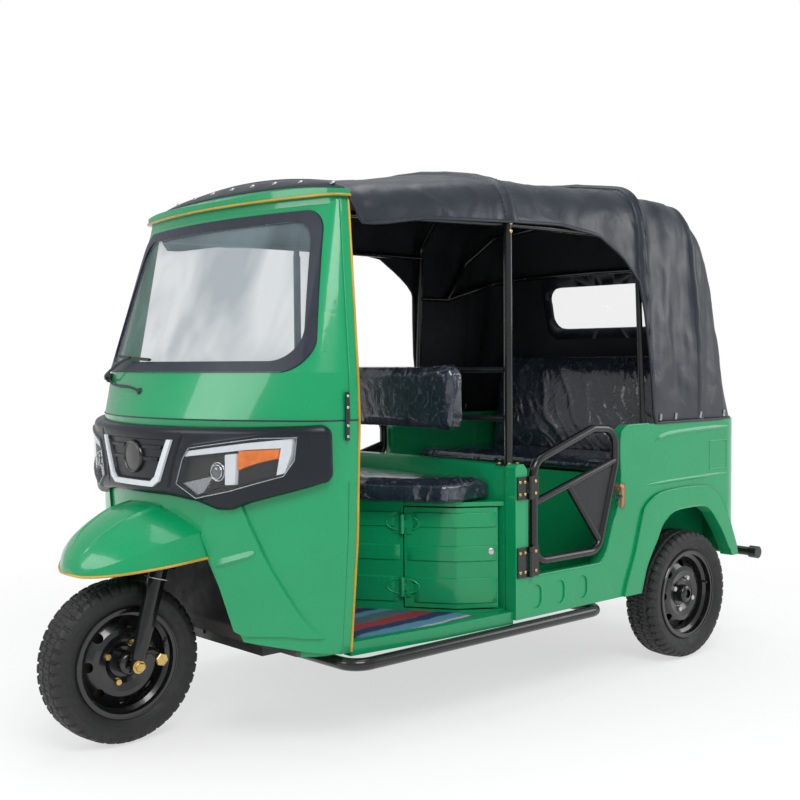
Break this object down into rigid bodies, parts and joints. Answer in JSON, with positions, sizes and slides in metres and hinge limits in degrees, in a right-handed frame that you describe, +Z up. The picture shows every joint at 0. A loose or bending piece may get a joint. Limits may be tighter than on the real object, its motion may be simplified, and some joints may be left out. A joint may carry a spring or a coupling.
{
  "type": "auto_rickshaw",
  "caption": "Three-wheeled passenger auto rickshaw: green pressed body, black canvas canopy, tube half-doors, driver's bench and passenger bench, turning front wheel.",
  "frame": {"origin": "on the ground, under the middle of the overall length and width", "axes": "-Y is the front of the vehicle, +X its left-hand side, +Z up"},
  "size_m": [1.3198, 2.8498, 1.8298],
  "materials": {
    "green_paint": "gloss",
    "black_paint": "gloss",
    "black_plastic": "satin",
    "canopy_vinyl": "satin",
    "seat_cover": "satin",
    "tyre_rubber": "matte",
    "soft_rubber": "matte",
    "wheel_paint": "satin",
    "windscreen_glass": "polished",
    "lamp_lens": "polished",
    "light_guide": "gloss",
    "tail_lens": "gloss",
    "mat_rubber": "matte",
    "steel": "satin",
    "engine_metal": "satin"
  },
  "bodies": {
    "body": {"chassis_frame": "black_paint", "lower_cowl": "green_paint", "upper_cowl": "green_paint", "windscreen_seal": "soft_rubber", "windscreen": "windscreen_glass", "roof_brow": "green_paint", "front_mask": "black_plastic", "headlamps": "lamp_lens", "light_bar": "light_guide", "front_fender": "green_paint", "floor_pan": "green_paint", "floor_mat": "mat_rubber", "front_bulkhead": "black_paint", "partition": "green_paint", "tub_side_left": "green_paint", "tub_side_right": "green_paint", "tail_panel": "green_paint", "tail_lamps": "tail_lens", "number_plate_bracket": "black_paint", "bench_base": "green_paint", "passenger_cushion": "seat_cover", "passenger_backrest": "seat_cover", "seat_box": "green_paint", "engine_block": "engine_metal", "driver_cushion": "seat_cover", "driver_backrest": "seat_cover", "canopy": "canopy_vinyl", "roof_frame": "black_paint", "backrest_rails": "black_paint", "rear_axle": "black_paint", "driveshaft": "steel", "step_bars": "black_paint", "rear_bumper": "black_paint", "door_hinges": "black_paint", "dashboard": "black_plastic"},
    "steering": {"fork": "black_paint", "handlebar": "black_paint"},
    "front_wheel": {"front_tyre": "tyre_rubber", "front_rim": "wheel_paint"},
    "rear_wheel_left": {"rear_tyre_left": "tyre_rubber", "rear_rim_left": "wheel_paint"},
    "rear_wheel_right": {"rear_tyre_right": "tyre_rubber", "rear_rim_right": "wheel_paint"},
    "door_left": {"door_frame_left": "black_paint", "door_panel_left": "black_plastic"},
    "door_right": {"door_frame_right": "black_paint", "door_panel_right": "black_plastic"},
    "engine_door": {"seat_box_door": "green_paint"}
  },
  "joints": [
    {"name": "steering_turn", "type": "hinge", "parent": "body", "child": "steering", "pos_m": [0, -1.178, 0.247], "axis": [0, 0.2756, 0.9613], "range_deg": [-40, 40]},
    {"name": "front_wheel_spin", "type": "hinge", "parent": "steering", "child": "front_wheel", "pos_m": [0, -1.178, 0.247], "axis": [1, 0, 0], "continuous": true},
    {"name": "rear_wheel_left_spin", "type": "hinge", "parent": "body", "child": "rear_wheel_left", "pos_m": [0.565, 0.897, 0.247], "axis": [1, 0, 0], "continuous": true},
    {"name": "rear_wheel_right_spin", "type": "hinge", "parent": "body", "child": "rear_wheel_right", "pos_m": [-0.565, 0.897, 0.247], "axis": [1, 0, 0], "continuous": true},
    {"name": "door_left_swing", "type": "hinge", "parent": "body", "child": "door_left", "pos_m": [0.65, -0.035, 0.6], "axis": [0, 0, -1], "range_deg": [0, 100]},
    {"name": "door_right_swing", "type": "hinge", "parent": "body", "child": "door_right", "pos_m": [-0.65, -0.035, 0.6], "axis": [0, 0, 1], "range_deg": [0, 100]},
    {"name": "engine_door_swing", "type": "hinge", "parent": "body", "child": "engine_door", "pos_m": [0.33981, -0.32561, 0.5], "axis": [0, 0, -1], "range_deg": [0, 100]}
  ]
}
